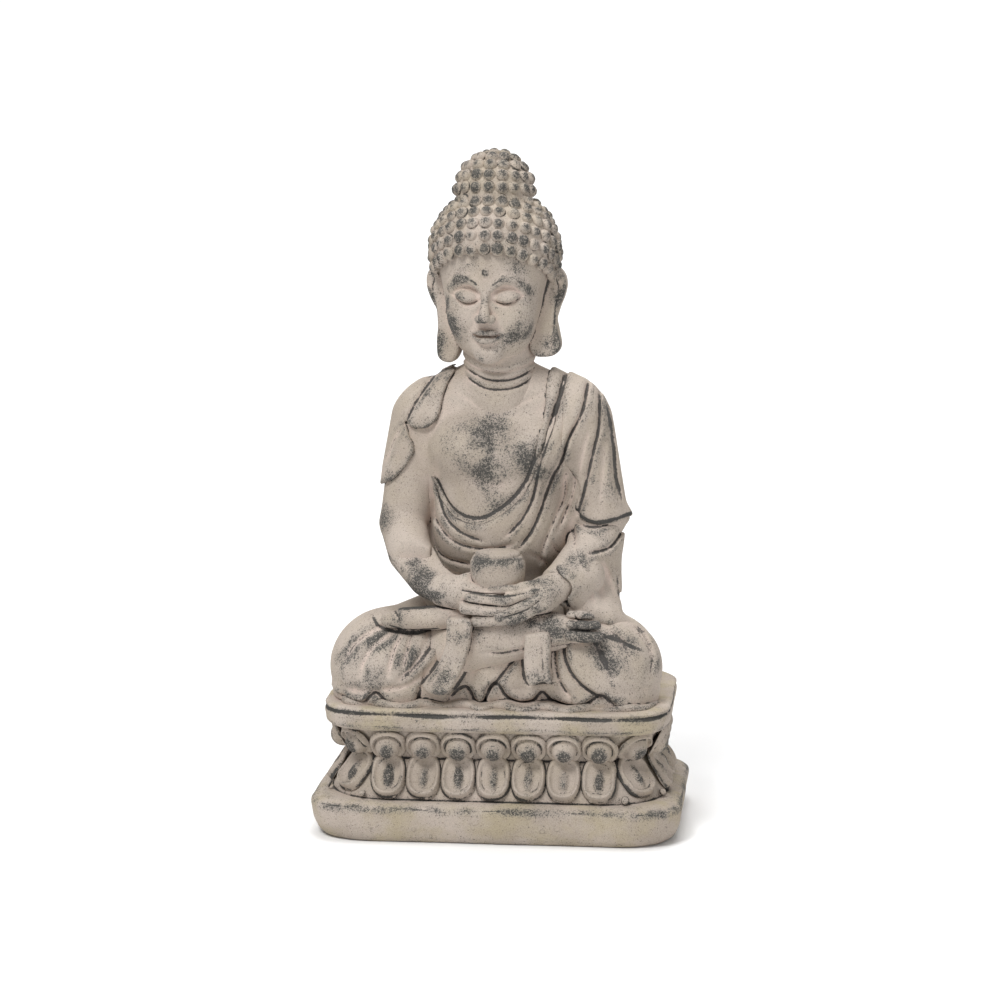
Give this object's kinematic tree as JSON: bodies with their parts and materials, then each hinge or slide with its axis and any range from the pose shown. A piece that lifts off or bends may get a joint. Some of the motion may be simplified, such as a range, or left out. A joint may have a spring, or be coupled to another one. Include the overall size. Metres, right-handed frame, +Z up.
{
  "type": "seated buddha statue",
  "caption": "Seated meditating Buddha holding an alms bowl in the lap, on a double lotus base with chamfered corners, cast and whitewashed.",
  "frame": {"origin": "centre of the plinth's underside", "axes": "+Z up, the figure faces -Y, the figure's left side is +X"},
  "size_m": [0.276, 0.188, 0.5008],
  "materials": {
    "whitewashed_casting": "matte",
    "rubbed_casting": "matte"
  },
  "bodies": {
    "root": {"plinth": "whitewashed_casting", "lower_lotus_band": "whitewashed_casting", "lower_petals": "whitewashed_casting", "lower_petal_ribs": "rubbed_casting", "sepal_tips": "rubbed_casting", "upper_lotus_band": "whitewashed_casting", "upper_petals": "whitewashed_casting", "upper_petal_beads": "rubbed_casting", "seat_slab": "whitewashed_casting", "robe_skirt": "whitewashed_casting", "right_leg": "whitewashed_casting", "left_leg": "whitewashed_casting", "crossed_shins": "whitewashed_casting", "right_foot": "whitewashed_casting", "left_foot": "whitewashed_casting", "right_sash_tail": "whitewashed_casting", "left_sash_tail": "whitewashed_casting", "torso": "whitewashed_casting", "under_robe": "whitewashed_casting", "outer_robe": "whitewashed_casting", "right_shoulder_flap": "whitewashed_casting", "left_shoulder_drape": "whitewashed_casting", "right_upper_arm": "whitewashed_casting", "right_forearm": "whitewashed_casting", "left_sleeve": "whitewashed_casting", "left_cuff": "whitewashed_casting", "left_forearm": "whitewashed_casting", "right_hand": "whitewashed_casting", "left_hand": "whitewashed_casting", "alms_bowl": "whitewashed_casting", "bowl_lid": "whitewashed_casting", "neck": "whitewashed_casting", "head": "whitewashed_casting", "right_ear": "whitewashed_casting", "left_ear": "whitewashed_casting", "urna": "rubbed_casting", "hair_cap": "whitewashed_casting", "hair_curls": "rubbed_casting", "topknot": "whitewashed_casting", "topknot_curls": "rubbed_casting"}
  },
  "joints": []
}
